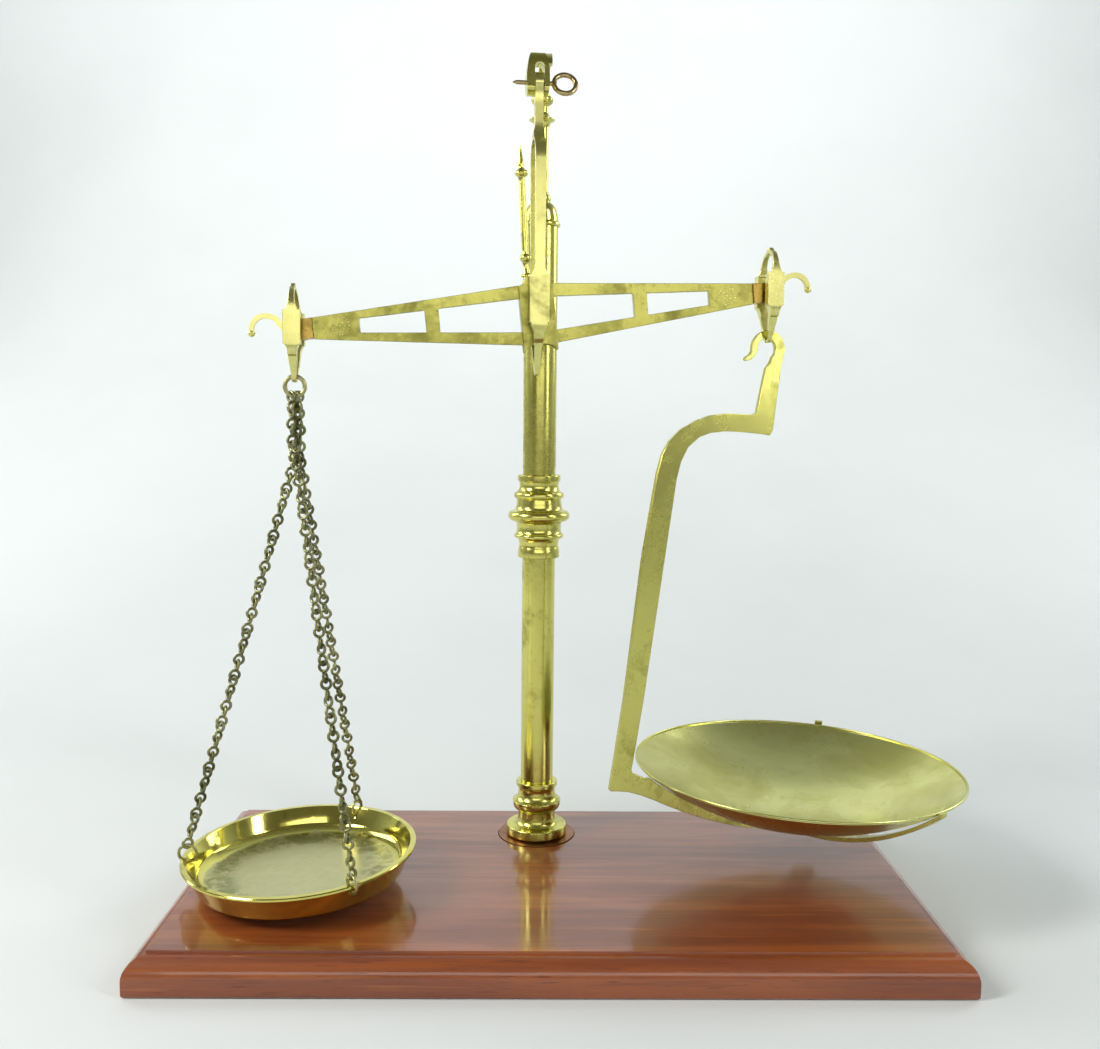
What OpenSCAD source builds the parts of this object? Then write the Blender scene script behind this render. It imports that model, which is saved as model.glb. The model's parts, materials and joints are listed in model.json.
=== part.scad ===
// Brass counter scale on a moulded mahogany board: turned pillar, hanging shears, open-work beam
// with three knife edges, a small weights pan on three chains and a large goods dish on a hooked arm.
// Millimetres, +Z up. The origin is the centre of the board's underside, -Y is the front.
// Heights marked "above the board" start at the board's top face.

/* [Board] */
// Length of the board, left to right
board_w = 457.2; // [360:1:600]
// Depth of the board, front to back
board_d = 228.6; // [190:1:320]
// Thickness of the board
board_t = 22; // [16:0.5:32]
// Width of the moulding round the top field
board_mould = 10.2; // [5:0.1:16]
// Height where the moulding's round starts
board_square = 9; // [5:0.5:12]
// Step between the top field and the moulding
board_step = 1.5; // [0.5:0.1:3]

/* [Pillar] */
// Left to right place of the pillar
pillar_x = -8.9; // [-30:0.1:30]
// Distance of the pillar behind the beam
pillar_y = 63; // [50:1:90]
// Outer diameter of the pillar tubes
tube_od = 22; // [18:0.1:26]
// Wall of the pillar tubes
tube_wall = 1.5; // [1:0.1:3]
// Exposed length of the lower tube
lower_tube_len = 154.4; // [100:0.1:220]
// Exposed length of the upper tube
upper_tube_len = 162; // [100:0.1:220]
// Diameter of the tie rod inside the pillar
rod_d = 6; // [4:0.5:8]
// Diameter of the round plate under the pillar's foot
plate_d = 52; // [44:1:70]

/* [Suspension] */
// Left to right place of the hanging beam
hang_x = -11.2; // [-30:0.2:30]
// Turn of the hanging parts about the vertical
hang_turn = 5.8; // [-10:0.1:10]
// Diameter of the ring pin
pin_d = 2.5; // [2:0.1:4]
// Outer diameter of the pin's ring
pin_ring_od = 16; // [12:0.5:24]
// Drop from the ring pin to the centre knife edge
shears_drop = 132; // [110:0.5:170]
// Thickness of the shears' eye, left to right
eye_t = 4.9; // [3.5:0.1:7]

/* [Beam] */
// Distance from the centre knife edge to each end knife edge
arm_len = 144.2; // [110:0.1:190]
// Tilt of the beam at rest, left end down
beam_tilt = 5.55; // [0:0.05:7]
// Thickness of the beam plate
beam_t = 4.6; // [3:0.1:7]
// Half width of the beam's centre plates
cheek_half = 10.3; // [8:0.1:14]
// Thickness of each centre plate
cheek_t = 3.2; // [1.5:0.1:3.6]

/* [Weights pan] */
// Rim diameter of the weights pan
pan_od = 140; // [110:1:170]
// Base diameter of the weights pan
pan_base_od = 122; // [90:1:150]
// Height of the weights pan
pan_h = 17; // [12:0.5:26]
// Wall of the weights pan
pan_wall = 2.4; // [1.5:0.1:3]
// Thickness of the weights pan's floor
pan_floor = 2.4; // [2:0.1:6]
// Gap from the lowest edge of the hanging pan to the board
pan_gap = 4.6; // [3:0.1:12]

/* [Goods side] */
// Rim diameter of the goods dish
dish_od = 210.6; // [180:0.2:250]
// Depth of the goods dish
dish_depth = 35; // [26:0.5:42]
// Sheet thickness of the goods dish
dish_t = 0.9; // [0.7:0.1:2]
// Thickness of the hooked arm's plate
arm_plate_t = 3.4; // [2.5:0.1:5]
// Turn of the hooked arm's plane about the vertical
goods_turn = 18; // [10:1:25]

/* [Hidden] */
$fn = 64;

brass = "#b9a44a";
aged_brass = "#8f8a52";
steel = "#8b8f92";
agate = "#c9cfd0";
mahogany = "#8a2f16";

// Clearances: between pieces that turn or slide, between fixed pieces, and round a threaded end
run_clear = 0.06;
seat_clear = 0.25;
thread_clear = 0.05;
knife_clear = 0.08;
hole_clear = 0.4;
far = 2 * max(board_w, board_d);

// Board details
board_arris = 2;
mould_steps = 8;
plate_t = 2.1;
plate_proud = 0.6;
recess_d = 30;
recess_depth = 10;
washer_d = 20;
washer_t = 1.5;
nut_af = 10;
nut_t = 5;
rod_end_gap = 1;

// Pillar stack, heights above the board
foot_h = 38;
knop_z = foot_h + lower_tube_len;
knop_h = 55.2;
cap_z = knop_z + knop_h + upper_tube_len;
cap_h = 20.4;
stem_z = cap_z + cap_h;
stem_h = 63.5;
stem_top = stem_z + stem_h;
spigot_len = 14;
spigot_r = tube_od / 2 - tube_wall - thread_clear;
rod_bore_r = rod_d / 2 + seat_clear;
rod_thread_len = 16;

// Suspension, heights above the board
pin_z = stem_top - 11.4;
pivot_z = pin_z - shears_drop;
bracket_t = 6.6;
bracket_band = 6;
bracket_rise = 9.5;
bracket_spring = pin_z + 10.6;
eye_slot = eye_t + 2 * hole_clear;
clevis_top = pin_z + 17.2;
clevis_low = pin_z - 7.6;
clevis_depth = 14;
clevis_shift = -0.9;
slot_top = pin_z + 10.7;
eye_r = 6;
pin_ring_wire = 3;
pin_tip_x = -15.5;
pin_end_x = 9;
pin_ring_lean = -23;
pin_bore_r = pin_d / 2 + run_clear;

// Shears, in their own frame: heights from the centre knife edge
leg_t = 3.2;
leg_out = 16.5;
leg_in = leg_out - leg_t;
yoke_low = 99;
yoke_top = 103.4;
box_low = -8.6;
box_high = 19.4;
box_half = 5.75;
box_in = 8.6;
shears_low = -39;
bearing_h = 4;
pocket_half = 3.4;
pocket_top = 8;
pocket_end = leg_out - 3;
knife_half = 2.6;
knife_h = 5.2;
shears_knife_reach = pocket_end - 0.6;

// Beam, in its own frame: u along the beam, v up from the knife line
beam_top = 15.1;
beam_low = -20.2;
top_slope = tan(4.34);
low_slope = tan(6.25);
bar_in = 8;
bar_out = 3.4;
cross_u = arm_len * 0.4375;
cross_w = 8.4;
solid_len = 38.4;
boss_len = 11;
boss_top = 5;
boss_low = -6.4;
knife_seat = 1.6;
pointer_base = 20;
pointer_tip = 96;
pointer_shift = -4.6;
pointer_lean = 2.3;
curl_t = 3.4;
curl_w = 3.3;
curl_w_tip = 2.6;
curl_ball_r = 2.2;

// Stirrups, heights from their own knife edge
st_half = 5;
st_low = -9.4;
st_high = 10.4;
st_apex = 26.5;
st_bar_z = -30.2;
st_bar_r = 1.05;
st_out = 14;
st_in = 7.6;
st_leg_t = 2.6;
st_knife_reach = 12.6;

// Rings and chains
ring_od = 14.2;
ring_wire = 2.6;
ring_r = (ring_od - ring_wire) / 2;
rim_ring_od = 12.5;
rim_ring_wire = 1.9;
rim_ring_r = (rim_ring_od - rim_ring_wire) / 2;
link_r = 2.4;
link_wire = 1.56;
link_neck = 1.6;
link_span = 2 * link_r + link_neck;
link_lap = 2 * link_r - link_wire - 0.1;
pan_hole_drop = 5;
pan_hole_r = rim_ring_wire / 2 + 0.45;
chain_azimuths = [183, -53, 69];
chain_spots = [-120, -90, -60];
first_shank = [0, 4.5, 3];
chain_clear = 0.3;

// Weights pan place and lean at rest
pan_lean = [0.9, -2.2];
pan_shift = [1.8, -7.5];
pan_round = 3;
pan_bend = 9;
pan_lip = 1.2;
pan_z = pan_gap + pan_base_od / 2 * sin(norm(pan_lean));

// Goods side place and lean at rest
dish_out = 30.4;
dish_lean = 1.7;
dish_rim_z = 61.5;
dish_bead = 1.4;
support_drop = 4.2;
support_rim = 0.6;
support_t = 2.8;
support_w = 9;
finger_low = 1.2;
finger_high = 3;
finger_t = 2.2;
hub_r = 9;
foot_gap = 1.2;
hook_in = 6.4;
hook_out = 11.4;
hook_shift = -1.4;
hook_bear = 5.55;
bar_clear = 0.35;

left_knife = [-arm_len * cos(beam_tilt), 0, pivot_z - arm_len * sin(beam_tilt)];
right_knife = [arm_len * cos(beam_tilt), 0, pivot_z + arm_len * sin(beam_tilt)];
hook_z = right_knife.z + st_bar_z + st_bar_r - hook_bear;

// ---------- helpers ----------

// Quarter of an ellipse from p to q, leaving p level or upright
function quarter(p, q, level, n = 6) = [for (i = [1:n]) let (a = 90 * i / n)
    level ? [p.x + (q.x - p.x) * sin(a), p.y + (q.y - p.y) * (1 - cos(a))]
          : [p.x + (q.x - p.x) * (1 - cos(a)), p.y + (q.y - p.y) * sin(a)]];

// Arc round a centre with its own width and height
function arc(c, rx, ry, a0, a1, n = 12) =
    [for (i = [0:n]) let (a = a0 + (a1 - a0) * i / n) [c.x + rx * cos(a), c.y + ry * sin(a)]];

// An outline and its mirror image on the other side of the upright axis
function both_sides(p) = concat(p, [for (i = [len(p) - 1:-1:0]) [-p[i].x, p[i].y]]);

// Turned piece from a profile of [radius, height] points with a hole down its axis
module turned(profile, hole_r = 0) {
    difference() {
        rotate_extrude(convexity = 6) polygon(profile);
        if (hole_r > 0) translate([0, 0, -far / 2]) cylinder(r = hole_r, h = far);
    }
}

// Plate lying in the XZ plane, between two Y values
module plate_xz(outline, y0, y1) {
    translate([0, y1, 0]) rotate([90, 0, 0]) linear_extrude(y1 - y0, convexity = 6) polygon(outline);
}

// Plate lying in the YZ plane, between two X values
module plate_yz(outline, x0, x1) {
    translate([x0, 0, 0]) rotate([90, 0, 90]) linear_extrude(x1 - x0, convexity = 6) polygon(outline);
}

module round_ring(r, wire) {
    rotate([90, 0, 0]) rotate_extrude() translate([r, 0]) circle(d = wire, $fn = 24);
}

module on_board() { translate([0, 0, board_t]) children(); }

module at_pillar() { translate([pillar_x, pillar_y, board_t]) children(); }

module hanging() { translate([hang_x, 0, board_t]) rotate([0, 0, hang_turn]) children(); }

module at_pivot() { hanging() translate([0, 0, pivot_z]) children(); }

module on_beam() { at_pivot() rotate([0, -beam_tilt, 0]) children(); }

// ---------- board and pillar ----------

// One half of the board's edge, from the bottom arris to the top field
function edge_profile(half) = concat(
    [[half - board_arris, 0]],
    quarter([half - board_arris, 0], [half, board_arris], true, 4),
    [[half, board_square]],
    quarter([half, board_square], [half - board_mould, board_t - board_step], false, mould_steps),
    [[half - board_mould, board_t]]);

module base_board() {
    color(mahogany) difference() {
        intersection() {
            plate_xz(both_sides(edge_profile(board_w / 2)), -board_d, board_d);
            plate_yz(both_sides(edge_profile(board_d / 2)), -board_w, board_w);
        }
        translate([pillar_x, pillar_y, 0]) {
            translate([0, 0, board_t - plate_t + plate_proud])
                cylinder(d = plate_d + 2 * seat_clear, h = plate_t, $fn = 96);
            translate([0, 0, -1]) cylinder(r = rod_bore_r, h = board_t + 2);
            translate([0, 0, -1]) cylinder(d = recess_d, h = recess_depth + 1);
        }
    }
}

module foot_plate() {
    color(brass) at_pillar() translate([0, 0, plate_proud - plate_t]) difference() {
        cylinder(d = plate_d, h = plate_t, $fn = 96);
        translate([0, 0, -1]) cylinder(r = rod_bore_r, h = plate_t + 2);
    }
}

// The turned pieces take their radii from the tube, so they follow its diameter
function out(extra) = tube_od / 2 + extra;

module pillar_foot() {
    profile = concat(
        [[0, plate_proud], [out(8.4), plate_proud], [out(9.65), 1.8], [out(9.65), 6.6],
         [out(9), 7.5], [out(5.5), 7.8]],
        quarter([out(5.5), 7.8], [out(1.45), 13.6], true),
        [[out(1.5), 17.4], [out(1.9), 17.8]],
        quarter([out(1.9), 17.8], [out(5.45), 23.8], true),
        [[out(5.45), 24.5]],
        quarter([out(5.3), 24.8], [out(1.45), 31.2], true),
        quarter([out(1.45), 31.2], [out(3.05), 34.8], false, 4),
        [[out(3.05), foot_h - 0.6], [out(2.6), foot_h], [spigot_r, foot_h],
         [spigot_r, foot_h + spigot_len], [0, foot_h + spigot_len]]);
    color(brass) at_pillar() turned(profile, rod_bore_r);
}

module tube(z, h) {
    color(brass) at_pillar() translate([0, 0, z]) difference() {
        cylinder(d = tube_od, h = h);
        translate([0, 0, -1]) cylinder(r = tube_od / 2 - tube_wall, h = h + 2);
    }
}

module lower_tube() { tube(foot_h, lower_tube_len); }

module upper_tube() { tube(knop_z + knop_h, upper_tube_len); }

module pillar_knop() {
    profile = concat(
        [[0, -spigot_len], [spigot_r, -spigot_len], [spigot_r, 0], [out(2.5), 0], [out(2.95), 0.6],
         [out(2.95), 3.6]],
        quarter([out(2.7), 3.9], [out(2.1), 7.4], false, 3),
        quarter([out(2.1), 8.8], [out(5.1), 13.4], false),
        arc([out(5.1), 14.6], 0.5, 1.1, -80, 80, 4),
        quarter([out(5.1), 15.9], [out(3.8), 19.2], true, 4),
        quarter([out(3.8), 20.2], [out(5), 23.9], false, 4),
        arc([out(6.1), 28.1], 3.55, 3.55, -90, 90, 12),
        [[out(5.6), 31.9]],
        quarter([out(5.6), 31.9], [out(4.15), 36.2], true, 5),
        [[out(3.8), 39.2]],
        arc([out(5.05), 41.7], 0.7, 1.7, -90, 90, 6),
        quarter([out(4.8), 43.7], [out(1.95), 48.3], true),
        quarter([out(1.95), 48.3], [out(3.3), 51.4], false, 4),
        [[out(3.3), knop_h - 0.6], [out(2.9), knop_h], [spigot_r, knop_h],
         [spigot_r, knop_h + spigot_len], [0, knop_h + spigot_len]]);
    color(brass) at_pillar() translate([0, 0, knop_z]) turned(profile, rod_bore_r);
}

module tube_cap() {
    profile = concat(
        [[0, -spigot_len], [spigot_r, -spigot_len], [spigot_r, 0]],
        arc([out(0.6), 1.3], 0.95, 1.3, -90, 90, 6),
        [[out(0), 3.4]],
        quarter([out(0), 3.4], [out(-5.6), 15.6], false, 8),
        arc([out(-5.7), 18.2], 0.85, 1.9, -80, 80, 6),
        [[out(-6.4), cap_h], [0, cap_h]]);
    color(brass) at_pillar() translate([0, 0, cap_z]) turned(profile, rod_bore_r);
}

module upper_stem() {
    profile = concat(
        [[0, 0], [5, 0], [5, 0.8]],
        quarter([5, 0.8], [4.2, 5.4], true, 4),
        quarter([4.2, 5.4], [4.75, 13], false, 4),
        quarter([4.75, 13], [4.2, 22], true, 4),
        [[4.2, 40.5]],
        quarter([4.2, 40.5], [8.4, 47.2], false, 8),
        [[8.4, 47.8]],
        quarter([8, 48.2], [4, 53], true, 6),
        quarter([4, 54.5], [6.6, 58], false, 5),
        arc([5.9, 60], 1.25, 1.8, -60, 80, 6),
        [[5, stem_h - 1.4], [5, stem_h], [0, stem_h]]);
    color(brass) at_pillar() translate([0, 0, stem_z]) difference() {
        turned(profile);
        translate([0, 0, -1])
            cylinder(r = rod_d / 2 + thread_clear, h = rod_thread_len + 1 + hole_clear);
    }
}

module tie_rod() {
    color(steel) translate([pillar_x, pillar_y, rod_end_gap])
        cylinder(d = rod_d, h = board_t + stem_z + rod_thread_len - rod_end_gap);
}

module tie_rod_washer() {
    color(steel) translate([pillar_x, pillar_y, recess_depth - washer_t]) difference() {
        cylinder(d = washer_d, h = washer_t);
        translate([0, 0, -1]) cylinder(r = rod_bore_r, h = washer_t + 2);
    }
}

module tie_rod_nut() {
    color(steel) translate([pillar_x, pillar_y, recess_depth - washer_t - nut_t]) difference() {
        cylinder(d = nut_af / cos(30), h = nut_t, $fn = 6);
        translate([0, 0, -1]) cylinder(r = rod_d / 2 + thread_clear, h = nut_t + 2);
    }
}

// Swan-necked bracket: a level bow from the stem to a forked clevis over the beam
module head_bracket() {
    reach = norm([hang_x - pillar_x, pillar_y]);
    turn = atan2(hang_x - pillar_x, pillar_y);
    mid = [reach / 2, bracket_spring];
    half = reach / 2;
    band = bracket_band / 2;
    bow = concat(arc(mid, half + band, bracket_rise + band, 0, 180, 24),
                 arc(mid, half - band, bracket_rise - band, 180, 0, 24));
    side = concat([[-clevis_depth / 2, clevis_low + 4]],
                  arc([0, clevis_low + 4], clevis_depth / 2, 4, 180, 360, 10),
                  [[clevis_depth / 2, pin_z + 4]],
                  arc([0, pin_z + 8], clevis_depth / 2 - 1, clevis_top - pin_z - 8, 0, 180, 10));
    front = both_sides([[6, clevis_low], [6.8, pin_z - 2], [6.75, pin_z + 4], [6.2, pin_z + 9],
                        [5.2, pin_z + 14], [3.9, clevis_top]]);
    color(brass) on_board() difference() {
        union() {
            translate([pillar_x, pillar_y, 0]) rotate([0, 0, -turn]) {
                mirror([0, 1, 0]) plate_yz(bow, -bracket_t / 2, bracket_t / 2);
                translate([0, 0, stem_top]) cylinder(d = bracket_t + 2, h = bracket_band / 2);
            }
            translate([hang_x, 0, 0]) rotate([0, 0, hang_turn]) intersection() {
                plate_yz(side, -far, far);
                translate([clevis_shift, 0, 0]) plate_xz(front, -far, far);
            }
        }
        translate([hang_x, 0, 0]) rotate([0, 0, hang_turn]) {
            translate([-eye_slot / 2, -clevis_depth, clevis_low - 1])
                cube([eye_slot, 2 * clevis_depth, slot_top - eye_slot / 2 - clevis_low + 1]);
            translate([0, clevis_depth, slot_top - eye_slot / 2]) rotate([90, 0, 0])
                cylinder(d = eye_slot, h = 2 * clevis_depth);
            translate([-clevis_depth, 0, pin_z]) rotate([0, 90, 0])
                cylinder(r = pin_bore_r, h = 2 * clevis_depth);
        }
        translate([pillar_x, pillar_y, stem_top - far]) cylinder(d = 3 * bracket_t, h = far);
    }
}

module ring_pin() {
    ring_mean = (pin_ring_od - pin_ring_wire) / 2;
    color(aged_brass) hanging() translate([0, 0, pin_z]) {
        translate([pin_tip_x + pin_d, 0, 0]) rotate([0, 90, 0])
            cylinder(d = pin_d, h = pin_end_x - pin_tip_x - pin_d + pin_ring_wire / 2);
        translate([pin_tip_x, 0, 0]) rotate([0, 90, 0]) cylinder(d1 = pin_d / 3, d2 = pin_d, h = pin_d);
        translate([pin_end_x + ring_mean, 0, 0]) rotate([pin_ring_lean, 0, 0])
            round_ring(ring_mean, pin_ring_wire);
    }
}

// ---------- shears ----------

// Front view of the whole shears: narrow neck, long legs, wide bearing boxes, tapered tail
shears_front = both_sides([
    [1.25, shears_low], [2.25, -21.6], [2.8, -21], [2.8, -19.6], [3.1, -14], [4.9, -10.4],
    [4.9, box_low], [box_half, box_low], [box_half, box_high], [4.6, box_high],
    [4.4, box_high + 1], [3, box_high + 3.4], [2.95, 24], [3.3, yoke_low]]);

// Outside and inside of the front leg, seen from the side, as distance from the beam's plane
leg_outside = concat(
    [[0, shears_low], [2.2, shears_low + 0.6], [4.6, -32], [7.4, -26], [10.4, -20]],
    quarter([10.4, -20], [leg_out, box_low - 1], true, 5),
    [[leg_out, box_low], [leg_out, 86]],
    quarter([leg_out, 86], [7, yoke_low], false, 6));
leg_inside = concat(
    quarter([4.4, yoke_low], [leg_in, 84], true, 6),
    [[leg_in, box_high + 3], [box_in + 1, box_high], [box_in, box_high - 1], [box_in, box_low],
     [box_in - 0.4, -18], [5, -27], [2, -33], [0, -35.5]]);

module shears_leg() {
    color(brass) at_pivot() children();
}

// side is -1 for the front leg and 1 for the rear leg
module leg(side) {
    outline = [for (p = concat(leg_outside, leg_inside)) [side * p.x, p.y]];
    y_pocket = side < 0 ? -pocket_end : box_in - 1;
    difference() {
        intersection() {
            plate_yz(outline, -far / 2, far / 2);
            plate_xz(shears_front, -far / 2, far / 2);
        }
        translate([-pocket_half, y_pocket, -bearing_h])
            cube([2 * pocket_half, pocket_end - box_in + 1, bearing_h + pocket_top]);
    }
}

module shears_front_leg() { shears_leg() leg(-1); }

module shears_rear_leg() { shears_leg() leg(1); }

module shears_head() {
    neck = both_sides(concat(
        [[7, yoke_low]],
        quarter([7, yoke_low], [3.6, yoke_top + 6], true, 6),
        [[3.6, shears_drop - 12]],
        quarter([3.6, shears_drop - 12], [5.4, shears_drop - 3], false, 4)));
    color(brass) at_pivot() difference() {
        union() {
            intersection() {
                plate_yz(neck, -far / 2, far / 2);
                plate_xz(both_sides([[3.3, yoke_low], [3.3, yoke_top], [eye_t / 2, yoke_top + 3],
                                     [eye_t / 2, shears_drop]]), -far / 2, far / 2);
            }
            translate([-eye_t / 2, 0, shears_drop]) rotate([0, 90, 0]) cylinder(r = eye_r, h = eye_t);
        }
        translate([-far / 2, 0, shears_drop]) rotate([0, 90, 0]) cylinder(r = pin_bore_r, h = far);
    }
}

// Flat agate bearings in the boxes, under the ends of the centre knife
module shears_agates() {
    color(agate) at_pivot() for (side = [-1, 1]) {
        y = side < 0 ? -pocket_end : box_in;
        translate([-pocket_half, y, -bearing_h])
            cube([2 * pocket_half, pocket_end - box_in, bearing_h - knife_clear]);
    }
}

// ---------- beam ----------

function top_edge(u) = beam_top - (abs(u) - cheek_half) * top_slope;
function low_edge(u) = beam_low + (abs(u) - cheek_half) * low_slope;
function bar(u) = bar_in - (bar_in - bar_out) * abs(u) / arm_len;

// Window between two places along the arm, bounded by the top and bottom bars
function window(u0, u1) = [[u0, low_edge(u0) + bar(u0)], [u1, low_edge(u1) + bar(u1)],
                           [u1, top_edge(u1) - bar(u1)], [u0, top_edge(u0) - bar(u0)]];

module beam_plate() {
    end_u = arm_len - boss_len;
    half = [[0, top_edge(cheek_half)], [cheek_half, top_edge(cheek_half)], [end_u, top_edge(end_u)],
            [end_u, low_edge(end_u)], [cheek_half, low_edge(cheek_half)], [0, low_edge(cheek_half)]];
    color(brass) on_beam() difference() {
        union() for (side = [0, 1]) mirror([side, 0, 0]) plate_xz(half, -beam_t / 2, beam_t / 2);
        for (side = [0, 1]) mirror([side, 0, 0]) {
            plate_xz(window(cheek_half, cross_u - cross_w / 2), -beam_t, beam_t);
            plate_xz(window(cross_u + cross_w / 2, arm_len - solid_len), -beam_t, beam_t);
        }
        knife_hole(knife_half, knife_h);
    }
}

// Square hole through the beam for the centre knife
module knife_hole(half, h) {
    translate([-half - thread_clear, -far / 2, knife_seat])
        cube([2 * (half + thread_clear), far, h - knife_seat + thread_clear]);
    translate([-half - thread_clear, -far / 2, -1]) cube([2 * (half + thread_clear), far, 1 + knife_seat]);
}

// One ogee-shouldered cheek with an arched foot
module centre_cheek(y0) {
    outline = both_sides(concat(
        [[0, -20.4]],
        quarter([0, -20.4], [cheek_half - 0.8, -24.6], true, 6),
        [[cheek_half, -24.6], [cheek_half, 14.6]],
        quarter([cheek_half, 14.6], [6.4, 19.8], true, 5),
        [[0, pointer_base]]));
    color(brass) on_beam() difference() {
        plate_xz(outline, y0, y0 + cheek_t);
        knife_hole(knife_half, knife_h);
    }
}

module centre_cheek_front() { centre_cheek(-beam_t / 2 - cheek_t); }

module centre_cheek_rear() { centre_cheek(beam_t / 2); }

// Knife bar with its edge on the origin, pointing down
module knife(reach, half, h) {
    plate_xz([[0, 0], [half, half * 1.2], [half, h], [-half, h], [-half, half * 1.2]], -reach, reach);
}

module centre_knife() {
    color(steel) on_beam() knife(shears_knife_reach, knife_half, knife_h);
}

module end_knife(side) {
    color(steel) on_beam() translate([side * arm_len, 0, 0]) mirror([0, 0, 1])
        knife(st_knife_reach, knife_half, knife_h);
}

module end_knife_left() { end_knife(-1); }

module end_knife_right() { end_knife(1); }

// Thick bosses that carry the end knives, with a small moulded step beside each stirrup
module end_bosses() {
    u0 = arm_len - boss_len;
    outline = concat([[u0, top_edge(u0)]],
                     quarter([u0, top_edge(u0)], [u0 + 3, boss_top + 0.5], false, 4),
                     [[arm_len + st_half, boss_top], [arm_len + st_half, boss_low], [u0 + 5, boss_low - 0.5]],
                     quarter([u0 + 5, boss_low - 0.5], [u0, low_edge(u0) + 0.4], false, 4));
    color(brass) on_beam() for (side = [0, 1]) mirror([side, 0, 0]) difference() {
        plate_xz(outline, -beam_t / 2 - 2, beam_t / 2 + 2);
        translate([arm_len, 0, 0]) mirror([0, 0, 1]) {
            translate([-knife_half - thread_clear, -far / 2, -1])
                cube([2 * (knife_half + thread_clear), far, knife_h + 1 + thread_clear]);
        }
        translate([arm_len - 3.2, -far / 2, 0]) cube([6.4, far, far]);
    }
}

// Middle line of a curl beyond its knife: out of the boss, up over a round crest and down to the tip
curl_path = concat([[4.4, -1]], quarter([8, 3], [16.5, 9], false, 6), arc([16.5, 0], 8.1, 9, 75, 0, 8));

// Flat hooked strips with ball tips beyond each end of the beam
module end_curls() {
    n = len(curl_path) - 1;
    run = [for (i = [0:n]) curl_path[min(i + 1, n)] - curl_path[max(i - 1, 0)]];
    width = [for (i = [0:n]) curl_w + (curl_w_tip - curl_w) * i / n];
    edge = [for (i = [0:n]) width[i] / 2 / norm(run[i]) * [-run[i].y, run[i].x]];
    strip = concat([for (i = [0:n]) curl_path[i] + edge[i]], [for (i = [n:-1:0]) curl_path[i] - edge[i]]);
    color(brass) on_beam() for (side = [0, 1]) mirror([side, 0, 0]) translate([arm_len, 0, 0]) {
        intersection() {
            plate_xz(strip, -curl_t / 2, curl_t / 2);
            translate([st_half, -far / 2, -far / 2]) cube(far);
        }
        translate([curl_path[n].x, 0, curl_path[n].y - 0.4]) sphere(r = curl_ball_r, $fn = 32);
    }
}

module pointer() {
    profile = concat(
        [[0, pointer_base - 0.15], [3.2, pointer_base - 0.15], [3.2, pointer_base + 1]],
        quarter([3.2, pointer_base + 1], [1.9, 27], true, 4),
        arc([1.9, 31], 1.6, 2.2, -80, 80, 6),
        [[1.9, 34.4], [2.35, 46], [1.9, 76]],
        arc([1.9, 80.5], 2.15, 2, -80, 80, 6),
        [[1.7, 83.6], [1.9, 86], [0.35, pointer_tip], [0, pointer_tip]]);
    color(brass) on_beam() translate([pointer_shift, 0, pointer_base]) rotate([0, pointer_lean, 0])
        translate([0, 0, -pointer_base]) turned(profile);
}

// ---------- stirrups ----------

stirrup_front = both_sides([
    [1.2, st_bar_z - st_bar_r], [1.7, -25], [2.5, -18], [2.7, -12.4], [4, st_low], [st_half, st_low],
    [st_half, st_high], [3.4, st_high], [2.1, 14], [1.6, 18], [1.2, st_apex]]);
stirrup_outside = concat(
    quarter([0, st_bar_z - st_bar_r], [4.8, st_bar_z + 2], true, 4),
    [[10.4, -16]],
    quarter([10.4, -16], [st_out, st_low], true, 4),
    [[st_out, st_high]],
    quarter([st_out, st_high], [4, st_apex - 2], false, 5),
    [[2.2, st_apex], [0, st_apex]]);
stirrup_inside = concat(
    [[0, st_apex - 3.2], [3, st_apex - 4.4]],
    quarter([3, st_apex - 4.4], [st_out - st_leg_t, st_high + 1], true, 5),
    [[st_out - st_leg_t, st_high], [st_in, st_high - 0.8], [st_in, st_low + 1], [7, -15.5],
     [2.9, st_bar_z + st_bar_r + 1.2], [2.5, st_bar_z + st_bar_r], [0, st_bar_z + st_bar_r]]);

// One cheek of an end stirrup; side is -1 for the front cheek and 1 for the rear cheek
module stirrup_cheek(at, side) {
    outline = [for (p = concat(stirrup_outside, stirrup_inside)) [side * p.x, p.y]];
    y_pocket = side < 0 ? -st_knife_reach - 0.4 : st_in - 1;
    color(brass) hanging() translate(at) difference() {
        intersection() {
            plate_yz(outline, -far / 2, far / 2);
            plate_xz(stirrup_front, -far / 2, far / 2);
        }
        translate([-pocket_half, y_pocket, -knife_h - 1.6])
            cube([2 * pocket_half, st_knife_reach - st_in + 1.4, knife_h + 1.6 + bearing_h]);
    }
}

module stirrup_agates(at) {
    color(agate) hanging() translate(at) for (side = [-1, 1]) {
        y = side < 0 ? -st_knife_reach - 0.4 : st_in;
        translate([-pocket_half, y, knife_clear])
            cube([2 * pocket_half, st_knife_reach - st_in + 0.4, bearing_h - knife_clear]);
    }
}

module left_stirrup_front() { stirrup_cheek(left_knife, -1); }

module left_stirrup_rear() { stirrup_cheek(left_knife, 1); }

module left_stirrup_agates() { stirrup_agates(left_knife); }

module right_stirrup_front() { stirrup_cheek(right_knife, -1); }

module right_stirrup_rear() { stirrup_cheek(right_knife, 1); }

module right_stirrup_agates() { stirrup_agates(right_knife); }

// ---------- weights side ----------

// The ring hangs on the lower bar of the left stirrup
ring_z = left_knife.z + st_bar_z + st_bar_r + bar_clear + ring_wire / 2 - ring_r;
ring_at = [left_knife.x, 0, ring_z];

module top_ring() {
    color(aged_brass) hanging() translate(ring_at) round_ring(ring_r, ring_wire);
}

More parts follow.
